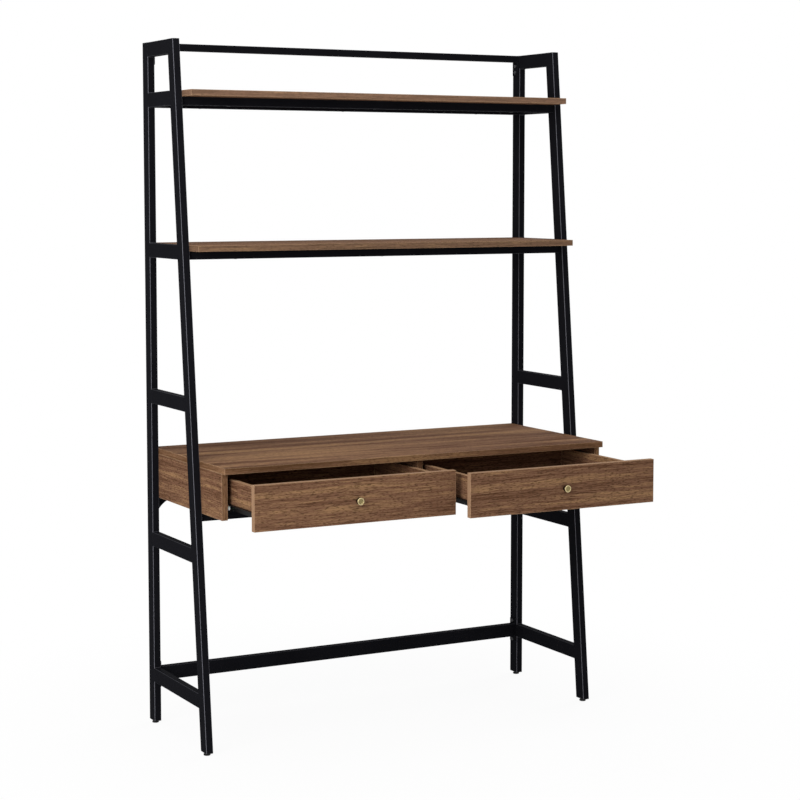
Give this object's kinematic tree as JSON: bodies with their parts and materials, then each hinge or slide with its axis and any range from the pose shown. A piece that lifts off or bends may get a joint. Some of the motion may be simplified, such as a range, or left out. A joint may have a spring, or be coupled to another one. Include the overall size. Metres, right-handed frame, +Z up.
{
  "type": "ladder desk",
  "caption": "Ladder desk: leaning black steel tube side frames carry walnut shelves above a desktop with drawers on roller runners and brass knobs.",
  "frame": {"origin": "on the floor, under the middle of the object's box with the drawers open as pictured", "axes": "+X to the right as seen from the front, -Y to the front where the drawers open, +Z up"},
  "size_m": [1.168, 0.7434, 1.829],
  "materials": {
    "powder_coated_steel": "satin black powder coat on steel tube",
    "walnut_laminate": "walnut-grain laminate on board, matt",
    "drawer_bottom_board": "thin walnut-faced hardboard",
    "brass": "satin brass",
    "runner_steel": "black epoxy-coated pressed steel",
    "nylon_roller": "white moulded nylon",
    "black_plastic": "black moulded plastic",
    "zinc_screw": "zinc-plated steel"
  },
  "bodies": {
    "frame": {"left_rear_post": "powder_coated_steel", "left_front_post": "powder_coated_steel", "left_top_rung": "powder_coated_steel", "left_upper_shelf_rung": "powder_coated_steel", "left_lower_shelf_rung": "powder_coated_steel", "left_middle_rung": "powder_coated_steel", "left_desk_rung": "powder_coated_steel", "left_bottom_rung": "powder_coated_steel", "right_rear_post": "powder_coated_steel", "right_front_post": "powder_coated_steel", "right_top_rung": "powder_coated_steel", "right_upper_shelf_rung": "powder_coated_steel", "right_lower_shelf_rung": "powder_coated_steel", "right_middle_rung": "powder_coated_steel", "right_desk_rung": "powder_coated_steel", "right_bottom_rung": "powder_coated_steel", "top_rear_rail": "powder_coated_steel", "bottom_rear_rail": "powder_coated_steel", "upper_shelf_front_rail": "powder_coated_steel", "upper_shelf_rear_rail": "powder_coated_steel", "lower_shelf_front_rail": "powder_coated_steel", "lower_shelf_rear_rail": "powder_coated_steel", "desk_front_rail": "powder_coated_steel", "rail_end_plates": "powder_coated_steel", "box_gussets": "powder_coated_steel", "upper_shelf": "walnut_laminate", "lower_shelf": "walnut_laminate", "desktop": "walnut_laminate", "left_side_panel": "walnut_laminate", "right_side_panel": "walnut_laminate", "box_back": "walnut_laminate", "centre_divider": "walnut_laminate", "post_plugs": "black_plastic", "post_caps": "black_plastic", "box_runner_channels": "runner_steel"},
    "left_drawer": {"left_drawer_front": "walnut_laminate", "left_drawer_left_side": "walnut_laminate", "left_drawer_right_side": "walnut_laminate", "left_drawer_back": "walnut_laminate", "left_drawer_bottom": "drawer_bottom_board", "left_drawer_knob": "brass", "left_knob_screw": "zinc_screw", "left_drawer_runners": "runner_steel"},
    "left_front_rollers": {"left_front_rollers": "nylon_roller"},
    "left_rear_rollers": {"left_rear_rollers": "nylon_roller"},
    "left_rear_glide": {"left_rear_glide": "black_plastic"},
    "left_front_glide": {"left_front_glide": "black_plastic"},
    "right_drawer": {"right_drawer_front": "walnut_laminate", "right_drawer_left_side": "walnut_laminate", "right_drawer_right_side": "walnut_laminate", "right_drawer_back": "walnut_laminate", "right_drawer_bottom": "drawer_bottom_board", "right_drawer_knob": "brass", "right_knob_screw": "zinc_screw", "right_drawer_runners": "runner_steel"},
    "right_front_rollers": {"right_front_rollers": "nylon_roller"},
    "right_rear_rollers": {"right_rear_rollers": "nylon_roller"},
    "right_rear_glide": {"right_rear_glide": "black_plastic"},
    "right_front_glide": {"right_front_glide": "black_plastic"}
  },
  "joints": [
    {"name": "left_drawer_slide", "type": "slide", "parent": "frame", "child": "left_drawer", "axis": [0, -1, 0], "range_m": [-0.175, 0.085]},
    {"name": "left_front_rollers_turn", "type": "hinge", "parent": "frame", "child": "left_front_rollers", "pos_m": [-0.2785, -0.08125, 0.648], "axis": [1, 0, 0], "range_deg": [-1342, 654]},
    {"name": "left_rear_rollers_turn", "type": "hinge", "parent": "left_drawer", "child": "left_rear_rollers", "pos_m": [-0.2785, 0.07225, 0.648], "axis": [1, 0, 0], "range_deg": [-1342, 654]},
    {"name": "left_rear_glide_screw", "type": "slide", "parent": "frame", "child": "left_rear_glide", "axis": [0, 0, -1], "range_m": [0, 0.008]},
    {"name": "left_front_glide_screw", "type": "slide", "parent": "frame", "child": "left_front_glide", "axis": [0, 0, -1], "range_m": [0, 0.008]},
    {"name": "right_drawer_slide", "type": "slide", "parent": "frame", "child": "right_drawer", "axis": [0, -1, 0], "range_m": [-0.243, 0.017]},
    {"name": "right_front_rollers_turn", "type": "hinge", "parent": "frame", "child": "right_front_rollers", "pos_m": [0.2785, -0.08125, 0.648], "axis": [1, 0, 0], "range_deg": [-1861, 135]},
    {"name": "right_rear_rollers_turn", "type": "hinge", "parent": "right_drawer", "child": "right_rear_rollers", "pos_m": [0.2785, 0.00425, 0.648], "axis": [1, 0, 0], "range_deg": [-1861, 135]},
    {"name": "right_rear_glide_screw", "type": "slide", "parent": "frame", "child": "right_rear_glide", "axis": [0, 0, -1], "range_m": [0, 0.008]},
    {"name": "right_front_glide_screw", "type": "slide", "parent": "frame", "child": "right_front_glide", "axis": [0, 0, -1], "range_m": [0, 0.008]}
  ],
  "couplings": [
    {"joint": "left_front_rollers_turn", "follows": "left_drawer_slide", "rad_per_m": 133.33},
    {"joint": "left_rear_rollers_turn", "follows": "left_drawer_slide", "rad_per_m": 133.33},
    {"joint": "right_front_rollers_turn", "follows": "right_drawer_slide", "rad_per_m": 133.33},
    {"joint": "right_rear_rollers_turn", "follows": "right_drawer_slide", "rad_per_m": 133.33}
  ]
}
